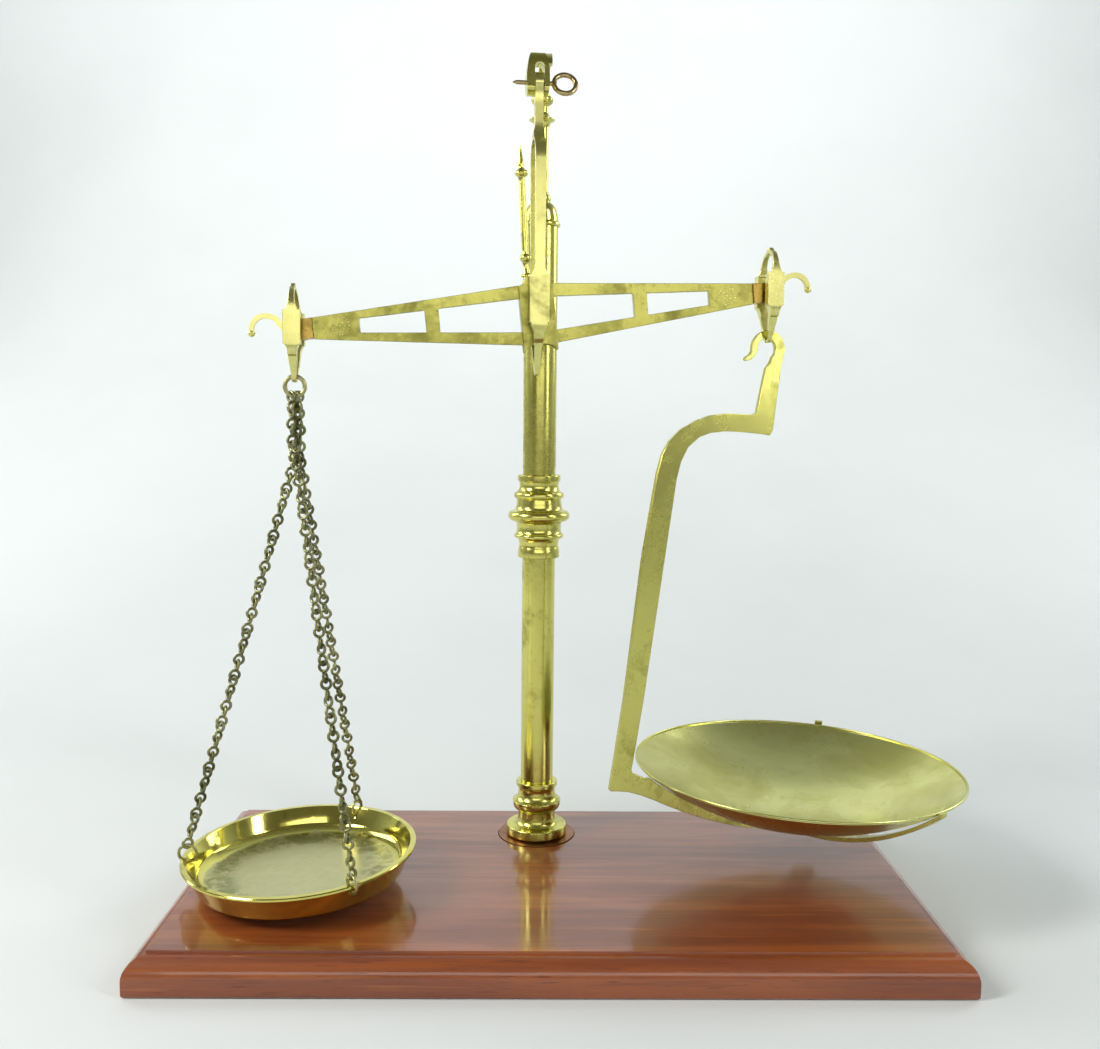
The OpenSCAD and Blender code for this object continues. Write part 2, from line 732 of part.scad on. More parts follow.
// Places in the board's frame, for chains that cross from the hanging frame to the leaning pan
function turned_xy(p) = [hang_x + p.x * cos(hang_turn) - p.y * sin(hang_turn),
                         p.x * sin(hang_turn) + p.y * cos(hang_turn), p.z];
pan_at = turned_xy([left_knife.x, 0, 0]) + [pan_shift.x, pan_shift.y, pan_z];

module at_pan() { on_board() translate(pan_at) rotate([pan_lean.x, pan_lean.y, 0]) children(); }

// A point of the leaning pan in the frame that stands on the board
function leaned(p, lean) = let (
    q = [p.x, p.y * cos(lean.x) - p.z * sin(lean.x), p.y * sin(lean.x) + p.z * cos(lean.x)])
    [q.x * cos(lean.y) + q.z * sin(lean.y), q.y, -q.x * sin(lean.y) + q.z * cos(lean.y)];

// Middle of the pan's wall at the height of the ring holes
pan_hole_z = pan_h - pan_hole_drop;
function wall_out(z) = pan_base_od / 2 + (pan_od / 2 - pan_lip - pan_base_od / 2) * z / pan_h;
pan_hole_at = wall_out(pan_hole_z) - pan_wall / 2;
wall_lean = atan((pan_od / 2 - pan_lip - pan_base_od / 2) / pan_h);
rim_ring_at = [pan_hole_at, pan_hole_z] + rim_ring_r * [sin(wall_lean), cos(wall_lean)];

module weights_pan() {
    profile = concat(
        [[0, 0], [pan_base_od / 2 - pan_round, 0]],
        quarter([pan_base_od / 2 - pan_round, 0], [wall_out(pan_round), pan_round], true, 5),
        [[wall_out(pan_h - 2), pan_h - 2], [pan_od / 2, pan_h - 1.6], [pan_od / 2, pan_h - 0.5],
         [pan_od / 2 - 0.5, pan_h], [wall_out(pan_h) - pan_wall + 0.3, pan_h],
         [wall_out(pan_h) - pan_wall, pan_h - 0.4], [wall_out(pan_bend) - pan_wall, pan_bend]],
        quarter([wall_out(pan_bend) - pan_wall, pan_bend], [pan_base_od / 2 - pan_bend, pan_floor], false, 6),
        [[0, pan_floor]]);
    color(brass) at_pan() difference() {
        rotate_extrude($fn = 96) polygon(profile);
        for (a = chain_azimuths) rotate([0, 0, a]) translate([pan_hole_at, 0, pan_hole_z])
            rotate([0, 90 + wall_lean, 0]) cylinder(r = pan_hole_r, h = 4 * pan_wall, center = true);
    }
}

module rim_rings() {
    color(aged_brass) at_pan() for (a = chain_azimuths) rotate([0, 0, a])
        translate([rim_ring_at.x, 0, rim_ring_at.y]) round_ring(rim_ring_r, rim_ring_wire);
}

// Figure-eight link: two round loops at right angles, joined by a straight neck of the same wire
module link(shank = 0) {
    for (end = [0, 1]) translate([0, 0, end * (link_span + shank)]) rotate([0, 0, 90 * end])
        round_ring(link_r, link_wire);
    translate([0, 0, link_r]) cylinder(d = link_wire, h = link_neck + shank, $fn = 16);
}

// Chain from the top ring to one rim ring; its links turn evenly from one ring's plane to the other's.
// Two chains start with a longer link, which keeps their loops clear of each other under the ring.
module chain(i) {
    a = chain_azimuths[i];
    spot = chain_spots[i];
    ring_axis = turned_xy([1, 0, 0]) - turned_xy([0, 0, 0]);
    drop_top = link_r - link_wire / 2 - ring_wire / 2 - chain_clear;
    drop_rim = link_r - link_wire / 2 - rim_ring_wire / 2 - chain_clear;
    top = turned_xy(ring_at + [ring_r * cos(spot), 0, ring_r * sin(spot) - drop_top]);
    eye = [rim_ring_at.x * cos(a), rim_ring_at.x * sin(a), rim_ring_at.y + rim_ring_r + drop_rim];
    low = pan_at + leaned(eye, pan_lean);
    run = low - top;
    shank = first_shank[i];
    count = ceil((norm(run) - shank + link_lap) / (link_span + link_lap));
    pitch = (norm(run) - shank - link_span) / (count - 1);
    heading = atan2(run.y, run.x);
    fall = acos(run.z / norm(run));
    side = [-sin(heading), cos(heading), 0];
    fore = [cos(fall) * cos(heading), cos(fall) * sin(heading), -sin(fall)];
    spin = atan(-(ring_axis * fore) / (ring_axis * side));
    color(aged_brass) on_board() translate(top) rotate([0, fall, heading])
        for (k = [0:count - 1]) translate([0, 0, k > 0 ? k * pitch + shank : 0])
            rotate([0, 0, spin * (1 - k / (count - 1))]) link(k > 0 ? 0 : shank);
}

module chain_left() { chain(0); }

module chain_front() { chain(1); }

module chain_back() { chain(2); }

// ---------- goods side ----------

// Frame at the hook's bearing point: X runs along the arm's plane, away from the pillar
module at_hook() {
    hanging() translate([right_knife.x, 0, 0]) rotate([0, 0, goods_turn - hang_turn]) children();
}

// Frame at the middle of the dish's rim plane
module at_dish() {
    at_hook() translate([dish_out, 0, dish_rim_z]) rotate([0, dish_lean, 0]) children();
}

// Underside of a round-bottomed dish of a given rim radius and depth, as points below its rim
function bowl_z(r, rim, depth) = let (s = (rim * rim + depth * depth) / (2 * depth))
    s - depth - sqrt(s * s - r * r);
function bowl_curve(rim, depth, r0, r1, n = 16) =
    [for (i = [0:n]) let (r = r0 + (r1 - r0) * i / n) [r, bowl_z(r, rim, depth)]];

module goods_pan() {
    rim = dish_od / 2;
    inner = bowl_curve(rim - dish_t, dish_depth - dish_t, rim - dish_bead, 0);
    outer = bowl_curve(rim, dish_depth, 0, rim - dish_bead / 2);
    color(brass) at_dish() rotate_extrude($fn = 96, convexity = 4)
        polygon(concat(outer, arc([rim - dish_bead / 2, dish_bead / 2], dish_bead / 2, dish_bead / 2,
                                  -90, 180, 8), inner));
}

// Top face of the supports: a deeper bowl that nears the dish only at its rim
support_r = dish_od / 2 + support_rim;
support_depth = dish_depth + support_drop;

// A point of the leaning dish frame in the hook's frame
function from_dish(p) = [dish_out + p.x * cos(dish_lean) + p.y * sin(dish_lean),
                         dish_rim_z - p.x * sin(dish_lean) + p.y * cos(dish_lean)];

// Depth of the arm's foot under the dish, growing towards the rim
function foot_depth(r) = 2.6 + 10 * pow(r / (dish_od / 2), 3.5);

module goods_arm() {
    hook = [0, hook_z];
    rim = dish_od / 2;
    outside = concat(
        arc(hook, hook_out, hook_out, 186, -8, 20),
        [for (p = [[9.2, -10], [4.6, -50], [2.6, -53.4]]) hook + p]);
    limb_low = [for (p = [[-2, -52.6], [-16, -51.4], [-27.5, -50.9], [-38.4, -52], [-46, -54.6],
                          [-53.4, -60.8], [-57.9, -69.5], [-60.6, -80], [-79.8, -215.6]]) hook + p];
    foot_top = [for (p = bowl_curve(support_r, dish_depth + foot_gap, rim, hub_r, 14))
                from_dish([-p.x, p.y])];
    foot_low = [for (p = bowl_curve(support_r, support_depth, hub_r, rim - 4, 10))
                from_dish([-p.x, p.y - foot_depth(p.x)])];
    heel = [for (p = [[-rim - 5.3, -11.2], [-rim - 14, -8.4], [-rim - 22.4, -7.3], [-rim - 25.4, -7.2],
                      [-rim - 26.3, -6.2]]) from_dish(p)];
    limb_top = [for (p = [[-92.7, -214.6], [-82.2, -127.9], [-73.6, -77], [-70.4, -65], [-65.6, -56.8],
                          [-58.6, -50], [-48.6, -44.6], [-38.7, -41.2], [-27.6, -39.9], [-17, -40.2],
                          [-9.4, -40.6], [-6.8, -39], [-1.4, -12], [1.4, -8.4]]) hook + p];
    tip = [for (p = [[-9.2, -4.4], [-11.6, -6.6], [-15, -7.8], [-16.4, -6.9], [-15.6, -5.2],
                     [-13, -3.8]]) hook + p];
    inner_corner = [for (p = [[-rim - 12.4, 5.4], [-rim - 11.6, 3.4], [-rim - 1.8, -1.2]]) from_dish(p)];
    color(brass) at_hook() plate_xz(
        concat(outside, limb_low, inner_corner, foot_top, foot_low, heel, limb_top,
               arc(hook + [hook_shift, 0], hook_in, hook_in, -50, 190, 20), tip),
        -arm_plate_t / 2, arm_plate_t / 2);
}

// Disc where the three supports meet under the dish
module spider_hub() {
    top = bowl_z(hub_r, support_r, support_depth);
    color(brass) at_dish() translate([0, 0, top - support_t - 0.4]) difference() {
        cylinder(r = hub_r, h = support_t + 0.4);
        translate([0, 0, -1]) cylinder(r = rod_d / 4, h = support_t + 3);
    }
}

// Bent strap from the hub to the rim, ending in an upturned finger outside the dish
module support_arm(azimuth, finger) {
    rim = dish_od / 2;
    top = bowl_curve(support_r, support_depth, hub_r, rim, 14);
    low = [for (i = [len(top) - 1:-1:0]) top[i] - [0, support_t]];
    lip = [[rim + 0.8, top[14].y + 0.2], [rim + 0.9, finger], [rim + 0.9 + finger_t, finger + 0.6],
           [rim + 0.9 + finger_t, top[14].y]];
    color(brass) at_dish() rotate([0, 0, azimuth]) intersection() {
        plate_xz(concat(top, lip, low), -support_w / 2, support_w / 2);
        linear_extrude(far, center = true) polygon([
            [0, -support_w / 2], [rim * 0.7, -support_w / 2], [rim + 1, -support_w / 3.4],
            [rim + 9, -support_w / 3.4], [rim + 9, support_w / 3.4], [rim + 1, support_w / 3.4],
            [rim * 0.7, support_w / 2], [0, support_w / 2]]);
    }
}

module support_arm_front() { support_arm(-54 - goods_turn, finger_low); }

module support_arm_back() { support_arm(68 - goods_turn, finger_high); }

base_board();
foot_plate();
pillar_foot();
lower_tube();
pillar_knop();
upper_tube();
tube_cap();
upper_stem();
head_bracket();
tie_rod();
tie_rod_washer();
tie_rod_nut();
ring_pin();
shears_head();
shears_front_leg();
shears_rear_leg();
shears_agates();
beam_plate();
centre_cheek_front();
centre_cheek_rear();
centre_knife();
end_knife_left();
end_knife_right();
end_bosses();
end_curls();
pointer();
left_stirrup_front();
left_stirrup_rear();
left_stirrup_agates();
right_stirrup_front();
right_stirrup_rear();
right_stirrup_agates();
top_ring();
chain_left();
chain_front();
chain_back();
rim_rings();
weights_pan();
goods_arm();
spider_hub();
support_arm_front();
support_arm_back();
goods_pan();
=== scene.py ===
"""Brass counter scale on a mahogany board: finished pieces, materials, light and camera.

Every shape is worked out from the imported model's own pieces. Lengths are in metres.
"""
import json
import math

import bmesh
import bpy
from mathutils import Matrix, Vector

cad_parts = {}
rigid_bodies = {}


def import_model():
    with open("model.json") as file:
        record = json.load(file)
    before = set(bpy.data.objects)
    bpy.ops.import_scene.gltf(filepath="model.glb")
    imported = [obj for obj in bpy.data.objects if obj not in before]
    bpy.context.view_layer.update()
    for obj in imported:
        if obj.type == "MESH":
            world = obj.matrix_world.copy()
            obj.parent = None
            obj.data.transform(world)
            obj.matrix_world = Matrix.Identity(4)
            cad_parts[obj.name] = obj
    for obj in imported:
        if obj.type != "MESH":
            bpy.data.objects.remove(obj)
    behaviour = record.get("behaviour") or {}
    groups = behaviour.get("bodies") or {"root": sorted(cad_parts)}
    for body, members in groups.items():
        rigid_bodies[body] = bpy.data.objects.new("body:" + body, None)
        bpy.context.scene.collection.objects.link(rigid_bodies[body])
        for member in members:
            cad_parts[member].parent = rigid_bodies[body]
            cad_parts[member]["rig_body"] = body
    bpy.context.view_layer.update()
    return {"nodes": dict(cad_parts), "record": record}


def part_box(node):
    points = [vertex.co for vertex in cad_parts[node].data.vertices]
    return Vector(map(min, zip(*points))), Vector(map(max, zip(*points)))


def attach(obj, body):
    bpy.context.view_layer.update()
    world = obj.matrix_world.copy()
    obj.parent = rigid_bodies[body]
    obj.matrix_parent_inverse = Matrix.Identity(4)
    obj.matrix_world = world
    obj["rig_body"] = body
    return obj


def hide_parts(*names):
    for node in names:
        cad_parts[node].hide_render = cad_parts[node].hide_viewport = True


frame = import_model()
nodes = frame["nodes"]
SLOTS = {part["node"]: part["material_slot"] for part in frame["record"]["subparts"]}

MM = 0.001
TILT = math.radians(5.55)
TURN = math.radians(5.8)


# ---------- material helpers ----------

class Shader:
    """A material with one Principled shader and short calls that add the nodes feeding it."""

    def __init__(self, name):
        self.material = bpy.data.materials.new(name)
        self.material.use_nodes = True
        self.tree = self.material.node_tree
        self.shader = self.tree.nodes["Principled BSDF"]
        self.place = self.add("ShaderNodeTexCoord").outputs["Object"]

    def add(self, kind, **settings):
        node = self.tree.nodes.new(kind)
        for key, value in settings.items():
            setattr(node, key, value)
        return node

    def link(self, output, target):
        self.tree.links.new(output, target)

    def set(self, **values):
        for key, value in values.items():
            self.shader.inputs[key.replace("_", " ")].default_value = value

    def mapped(self, scale, shift=(0, 0, 0), turn=(0, 0, 0)):
        node = self.add("ShaderNodeMapping")
        self.link(self.place, node.inputs["Vector"])
        node.inputs["Scale"].default_value = scale
        node.inputs["Location"].default_value = shift
        node.inputs["Rotation"].default_value = turn
        return node.outputs["Vector"]

    def noise(self, vector, scale, detail=4.0, rough=0.55, warp=0.0):
        node = self.add("ShaderNodeTexNoise")
        self.link(vector, node.inputs["Vector"])
        node.inputs["Scale"].default_value = scale
        node.inputs["Detail"].default_value = detail
        node.inputs["Roughness"].default_value = rough
        node.inputs["Distortion"].default_value = warp
        return node.outputs["Fac"]

    def span(self, value, low, high, to_low=0.0, to_high=1.0):
        node = self.add("ShaderNodeMapRange", interpolation_type="SMOOTHSTEP")
        self.link(value, node.inputs["Value"])
        node.inputs["From Min"].default_value = low
        node.inputs["From Max"].default_value = high
        node.inputs["To Min"].default_value = to_low
        node.inputs["To Max"].default_value = to_high
        return node.outputs["Result"]

    def math(self, kind, a, b):
        node = self.add("ShaderNodeMath", operation=kind)
        for socket, value in zip(node.inputs, (a, b)):
            if isinstance(value, (int, float)):
                socket.default_value = value
            else:
                self.link(value, socket)
        return node.outputs["Value"]

    def mix(self, factor, a, b, blend="MIX"):
        node = self.add("ShaderNodeMix", data_type="RGBA", blend_type=blend)
        for name, value in (("Factor_Float", factor), ("A_Color", a), ("B_Color", b)):
            socket = next(s for s in node.inputs if s.identifier == name)
            if isinstance(value, (int, float)):
                socket.default_value = value
            elif isinstance(value, tuple):
                socket.default_value = (*value, 1)
            else:
                self.link(value, socket)
        return next(s for s in node.outputs if s.identifier == "Result_Color")

    def bump(self, height, distance, strength=1.0, under=None):
        node = self.add("ShaderNodeBump")
        self.link(height, node.inputs["Height"])
        node.inputs["Distance"].default_value = distance
        node.inputs["Strength"].default_value = strength
        if under is not None:
            self.link(under, node.inputs["Normal"])
        return node.outputs["Normal"]

    def into(self, name, output):
        self.link(output, self.shader.inputs[name])


# ---------- materials ----------

def brass(name, bright, dull, rough, tarnish=0.5, grain=(240, 240, 2600), spots=0.5):
    """Polished brass with olive tarnish clouds, small dark spots and fine polishing lines."""
    m = Shader(name)
    clouds = m.noise(m.mapped((1, 1, 1)), 42, 5, 0.6, 0.4)
    mottle = m.noise(m.mapped((1, 1, 1), (0.3, 0.1, 0.2)), 260, 3, 0.6)
    fine = m.noise(m.mapped(grain), 1, 2, 0.5)
    cover = m.span(m.math("ADD", m.math("MULTIPLY", clouds, 0.7), m.math("MULTIPLY", mottle, 0.3)),
                   0.60 - 0.25 * tarnish, 0.80 - 0.2 * tarnish)
    colour = m.mix(cover, bright, dull)
    speck = m.span(m.noise(m.mapped((1, 1, 1), (0.7, 0.4, 0.9)), 520, 2, 0.5), 0.66, 0.74)
    colour = m.mix(m.math("MULTIPLY", speck, spots), colour, tuple(0.42 * c for c in dull))
    m.into("Base Color", colour)
    m.set(Metallic=1.0, Specular_IOR_Level=0.5)
    smear = m.math("ADD", m.math("MULTIPLY", clouds, 0.16), m.math("MULTIPLY", fine, 0.08))
    worn = m.math("ADD", smear, m.math("MULTIPLY", cover, 0.10))
    m.into("Roughness", m.math("ADD", worn, rough - 0.10))
    dents = m.bump(m.noise(m.mapped((1, 1, 1), (0.1, 0.8, 0.5)), 70, 2, 0.5), 0.00022, 0.5)
    m.into("Normal", m.bump(fine, 0.00002, 0.5, dents))
    return m.material


def weights_pan_brass(name, centre, floor_r):
    """Cast pan: bright turned walls, a dull grey-gold floor and a darker worn ring round its edge."""
    m = Shader(name)
    offset = m.add("ShaderNodeVectorMath", operation="SUBTRACT")
    m.link(m.place, offset.inputs[0])
    offset.inputs[1].default_value = centre
    flat = m.add("ShaderNodeVectorMath", operation="MULTIPLY")
    m.link(offset.outputs["Vector"], flat.inputs[0])
    flat.inputs[1].default_value = (1, 1, 0)
    length = m.add("ShaderNodeVectorMath", operation="LENGTH")
    m.link(flat.outputs["Vector"], length.inputs[0])
    radius = length.outputs["Value"]
    clouds = m.noise(m.mapped((1, 1, 1)), 60, 6, 0.65, 0.6)
    ragged = m.math("ADD", radius, m.math("MULTIPLY", m.math("SUBTRACT", clouds, 0.5), 0.016))
    floor = m.span(ragged, floor_r - 1.5 * MM, floor_r + 1.5 * MM, 1.0, 0.0)
    ring = m.math("MULTIPLY", m.span(ragged, floor_r * 0.62, floor_r * 0.84), floor)
    mottle = m.noise(m.mapped((1, 1, 1), (0.2, 0.5, 0.1)), 150, 4, 0.65, 0.5)
    walls = m.mix(m.span(clouds, 0.48, 0.72), (0.66, 0.60, 0.15), (0.50, 0.44, 0.11))
    stained = m.mix(m.span(mottle, 0.3, 0.8), (0.60, 0.58, 0.32), (0.55, 0.53, 0.27))
    colour = m.mix(floor, walls, stained)
    patina = m.math("MULTIPLY", ring, m.span(m.math("ADD", mottle, clouds), 0.85, 1.15))
    m.into("Base Color", m.mix(m.math("MULTIPLY", patina, 0.75), colour, (0.24, 0.25, 0.09)))
    m.set(Metallic=1.0)
    m.into("Roughness", m.math("ADD", m.math("MULTIPLY", floor, 0.26),
                               m.math("ADD", m.math("MULTIPLY", mottle, 0.04), 0.09)))
    m.into("Normal", m.bump(m.noise(m.mapped((1, 1, 1)), 700, 3, 0.6), 0.000012, 0.4))
    return m.material


def dish_brass(name):
    """Thin satin sheet, paler where it is rubbed, with soft olive clouds and a few stains."""
    m = Shader(name)
    clouds = m.noise(m.mapped((1, 1, 1), (0.4, 0.2, 0.6)), 17, 4, 0.55, 0.5)
    mottle = m.noise(m.mapped((1, 1, 1)), 180, 4, 0.6)
    colour = m.mix(m.span(clouds, 0.38, 0.68), (0.66, 0.66, 0.26), (0.52, 0.50, 0.15))
    colour = m.mix(m.math("MULTIPLY", m.span(mottle, 0.55, 0.75), 0.35), colour, (0.38, 0.38, 0.12))
    m.into("Base Color", colour)
    m.set(Metallic=1.0)
    m.into("Roughness", m.math("ADD", m.math("MULTIPLY", clouds, 0.22), 0.17))
    waves = m.bump(m.noise(m.mapped((1, 1, 1), (0.9, 0.3, 0.2)), 30, 2, 0.5), 0.0006, 0.5)
    m.into("Normal", m.bump(m.noise(m.mapped((1, 1, 1)), 1100, 2, 0.5), 0.00002, 0.4, waves))
    return m.material


def steel(name):
    m = Shader(name)
    fine = m.noise(m.mapped((500, 500, 3000)), 1, 2, 0.5)
    m.into("Base Color", m.mix(m.span(m.noise(m.mapped((1, 1, 1)), 300, 3, 0.6), 0.45, 0.75),
                               (0.42, 0.42, 0.41), (0.24, 0.20, 0.16)))
    m.set(Metallic=1.0)
    m.into("Roughness", m.math("ADD", m.math("MULTIPLY", fine, 0.2), 0.2))
    m.into("Normal", m.bump(fine, 0.00002, 0.5))
    return m.material


def agate(name):
    m = Shader(name)
    bands = m.add("ShaderNodeTexWave", wave_type="BANDS", bands_direction="DIAGONAL")
    m.link(m.mapped((1, 1, 1)), bands.inputs["Vector"])
    bands.inputs["Scale"].default_value = 240
    bands.inputs["Distortion"].default_value = 6
    m.into("Base Color", m.mix(bands.outputs["Fac"], (0.46, 0.40, 0.35), (0.70, 0.68, 0.64)))
    m.into("Roughness", m.span(m.noise(m.mapped((1, 1, 1)), 500), 0.3, 0.7, 0.06, 0.16))
    return m.material


def mahogany(name):
    """Long reddish figure with darker streaks and short pores, under a clear gloss varnish."""
    m = Shader(name)
    figure = m.noise(m.mapped((2.2, 26, 26)), 1.6, 5, 0.6, 0.5)
    streak = m.noise(m.mapped((5, 150, 150), (0.2, 0.4, 0.3)), 1.4, 4, 0.6, 0.2)
    pores = m.noise(m.mapped((60, 1500, 1500), (0.6, 0.1, 0.8)), 1, 2, 0.5)
    colour = m.mix(m.span(figure, 0.36, 0.66), (0.29, 0.070, 0.012), (0.175, 0.036, 0.008))
    colour = m.mix(m.math("MULTIPLY", m.span(streak, 0.5, 0.68), 0.6), colour, (0.14, 0.030, 0.009))
    colour = m.mix(m.math("MULTIPLY", m.span(streak, 0.44, 0.30), 0.5), colour, (0.40, 0.115, 0.018))
    open_pore = m.span(pores, 0.62, 0.72)
    colour = m.mix(m.math("MULTIPLY", open_pore, 0.55), colour, (0.06, 0.008, 0.004))
    m.into("Base Color", colour)
    m.set(Coat_Weight=1.0, Coat_IOR=1.5, Specular_IOR_Level=0.35)
    m.into("Roughness", m.span(figure, 0.3, 0.7, 0.38, 0.52))
    haze = m.noise(m.mapped((1, 1, 1), (0.5, 0.9, 0.1)), 22, 5, 0.6, 0.4)
    m.into("Coat Roughness", m.span(haze, 0.35, 0.75, 0.07, 0.20))
    ripple = m.bump(m.noise(m.mapped((14, 70, 70)), 1, 3, 0.5), 0.00035, 0.35)
    m.into("Coat Normal", ripple)
    m.into("Normal", m.bump(open_pore, -0.00006, 0.5, ripple))
    return m.material


def floor_paper(name):
    m = Shader(name)
    tone = m.noise(m.mapped((1, 1, 1)), 1.3, 4, 0.6)
    m.into("Base Color", m.mix(m.span(tone, 0.35, 0.7), (0.72, 0.745, 0.75), (0.68, 0.705, 0.71)))
    m.set(Roughness=0.62, Specular_IOR_Level=0.25)
    m.into("Normal", m.bump(m.noise(m.mapped((1, 1, 1)), 500, 2, 0.5), 0.00005, 0.3))
    return m.material


# ---------- mesh helpers ----------

def finish_piece(form, name, body, material, smooth=40, weighted=True):
    """Turns a bmesh into a shaded piece that rides on a body."""
    data = bpy.data.meshes.new(name)
    form.to_mesh(data)
    form.free()
    data.polygons.foreach_set("use_smooth", [True] * len(data.polygons))
    data.set_sharp_from_angle(angle=math.radians(smooth))
    piece = bpy.data.objects.new(name, data)
    bpy.context.scene.collection.objects.link(piece)
    data.materials.append(material)
    if weighted:
        piece.modifiers.new("even_shading", "WEIGHTED_NORMAL").keep_sharp = True
    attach(piece, body)
    return piece


def refined(name, material, edge=0.25 * MM, crease=38):
    """Stands for a CAD piece: the same shape welded, its flat faces joined and its edges eased."""
    form = bmesh.new()
    form.from_mesh(nodes[name].data)
    bmesh.ops.remove_doubles(form, verts=form.verts, dist=1e-6)
    bmesh.ops.dissolve_limit(form, angle_limit=math.radians(0.4), verts=form.verts, edges=form.edges)
    hard = [e for e in form.edges
            if len(e.link_faces) == 2 and e.calc_face_angle(0) > math.radians(crease)]
    bmesh.ops.bevel(form, geom=hard, offset=edge, segments=2, profile=0.6, affect="EDGES",
                    clamp_overlap=True)
    piece = finish_piece(form, f"{name}_piece", nodes[name]["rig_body"], material)
    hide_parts(name)
    return piece


def middle(name):
    low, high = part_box(name)
    return (Vector(low) + Vector(high)) / 2


# ---------- chains ----------

LINK_R = 2.8 * MM
LINK_WIRE = 0.92 * MM
LINK_LONG = 6.4 * MM
LOOP_STEPS = 18
WIRE_STEPS = 8
BUNCH = 40 * MM
TOP_RING_WIRE_R = 1.3 * MM
RIM_RING_WIRE = 1.9 * MM
CHAIN_NODES = {"left": "chain_left", "front": "chain_front", "back": "chain_back"}
CHAIN_SWAY = {"left": -1.0, "front": 0.2, "back": 1.0}
CHAIN_SPIN = {"left": 0.9, "front": 0.25, "back": -0.5}


def add_loop(form, centre, side, along, radius):
    """One round wire loop in the plane of two directions."""
    out = side.cross(along)
    rings = []
    for i in range(LOOP_STEPS):
        a = math.tau * i / LOOP_STEPS
        spoke = side * math.cos(a) + along * math.sin(a)
        hub = centre + spoke * radius
        rings.append([form.verts.new(hub + (spoke * math.cos(b) + out * math.sin(b)) * LINK_WIRE)
                      for b in (math.tau * j / WIRE_STEPS for j in range(WIRE_STEPS))])
    for i in range(LOOP_STEPS):
        for j in range(WIRE_STEPS):
            k = (j + 1) % WIRE_STEPS
            after = rings[(i + 1) % LOOP_STEPS]
            form.faces.new((rings[i][j], after[j], after[k], rings[i][k]))


def chain_links(form, path, spin):
    """Figure-of-eight links end to end along a path, each two loops at right angles."""
    lengths = [(b - a).length for a, b in zip(path, path[1:])]
    total = sum(lengths)
    lap = 2 * LINK_R - 2 * LINK_WIRE - 0.1 * MM
    count = math.ceil((total + lap) / (LINK_LONG + lap))
    pitch = (total - LINK_LONG) / (count - 1)

    def at(distance):
        for a, b, length in zip(path, path[1:], lengths):
            if distance <= length or b is path[-1]:
                return a + (b - a) * (distance / length)
            distance -= length

    for k in range(count):
        top, low = at(k * pitch), at(k * pitch + LINK_LONG)
        along = (low - top).normalized()
        side = along.cross(Vector((0, 1, 0))).normalized()
        turn = Matrix.Rotation(spin + 0.35 * math.sin(2.1 * k + 5 * spin), 3, along)
        side = turn @ side
        add_loop(form, top, side, along, LINK_R)
        add_loop(form, low, side.cross(along), along, LINK_R)


def ring_tops():
    """The top of each rim ring, found as the three groups of points round the pan."""
    pan = middle("weights_pan")
    groups = {}
    for vertex in nodes["rim_rings"].data.vertices:
        spot = vertex.co - pan
        key = round(math.degrees(math.atan2(spot.y, spot.x)) % 360 / 60)
        groups.setdefault(key % 6, []).append(vertex.co.copy())
    merged = []
    for key in sorted(groups):
        points = groups[key]
        spot = sum(points, Vector()) / len(points)
        near = next((m for m in merged if (m[0] - spot).length < 25 * MM), None)
        if near:
            near[1].extend(points)
        else:
            merged.append([spot, points])
    return [max(points, key=lambda p: p.z) for _, points in merged]


def build_chains(material):
    """One chain to each rim ring: straight down together, then apart from a knee."""
    low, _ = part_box("top_ring")
    ring = middle("top_ring")
    pan = middle("weights_pan")
    for top in ring_tops():
        spot = top - pan
        side = "left" if spot.x < 0 and abs(spot.y) < 25 * MM else "front" if spot.y < 0 else "back"
        sway = CHAIN_SWAY[side]
        start = Vector((ring.x + sway * 2.2 * MM, ring.y + sway * 0.3 * MM,
                        low.z + 2 * TOP_RING_WIRE_R - LINK_R + LINK_WIRE + 0.3 * MM))
        knee = Vector((ring.x + sway * 2.0 * MM + 0.4 * MM, ring.y + 2.6 * MM * (side == "back")
                       - 2.6 * MM * (side == "front"), start.z - BUNCH))
        end = top + Vector((0, 0, LINK_R - LINK_WIRE - RIM_RING_WIRE))
        form = bmesh.new()
        chain_links(form, [start, knee, end], CHAIN_SPIN[side])
        piece = finish_piece(form, f"{CHAIN_NODES[side]}_links", "weights_pan", material,
                             180, False)
        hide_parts(CHAIN_NODES[side])


# ---------- punched rosettes ----------

ROSETTE_REACH = 117 * MM
ROSETTE_DROP = 0.5 * MM
KNIFE_RISE = 2.6 * MM
HALF_PLATE = 2.3 * MM


def rosette(name, centre, along, up, material):
    """Plain punched mark: two rings of small raised beads round a centre bead, with no letters."""
    out = along.cross(up)
    form = bmesh.new()
    beads = [(0.0, 0.0, 0.55 * MM)]
    for radius, count, size in ((2.5 * MM, 8, 0.38 * MM), (5.2 * MM, 18, 0.42 * MM)):
        for i in range(count):
            a = math.tau * i / count
            beads.append((radius * math.cos(a), radius * math.sin(a), size))
    for x, z, size in beads:
        spot = centre + along * x + up * z
        frame_here = Matrix((along, out, up)).transposed().to_4x4()
        place = Matrix.Translation(spot) @ frame_here @ Matrix.Diagonal((size, size * 0.35, size, 1))
        bmesh.ops.create_uvsphere(form, u_segments=10, v_segments=6, radius=1, matrix=place)
    finish_piece(form, name, "beam", material, 180, False)


def build_rosettes(material):
    along = Vector((math.cos(TILT) * math.cos(TURN), math.cos(TILT) * math.sin(TURN), math.sin(TILT)))
    across = Vector((-math.sin(TURN), math.cos(TURN), 0))
    up = along.cross(across)
    centre = middle("centre_knife")
    knife_line = centre - up * KNIFE_RISE
    for name, reach in (("rosette_left", -ROSETTE_REACH), ("rosette_right", ROSETTE_REACH)):
        rosette(name, knife_line + along * reach - up * ROSETTE_DROP - across * HALF_PLATE,
                along, up, material)


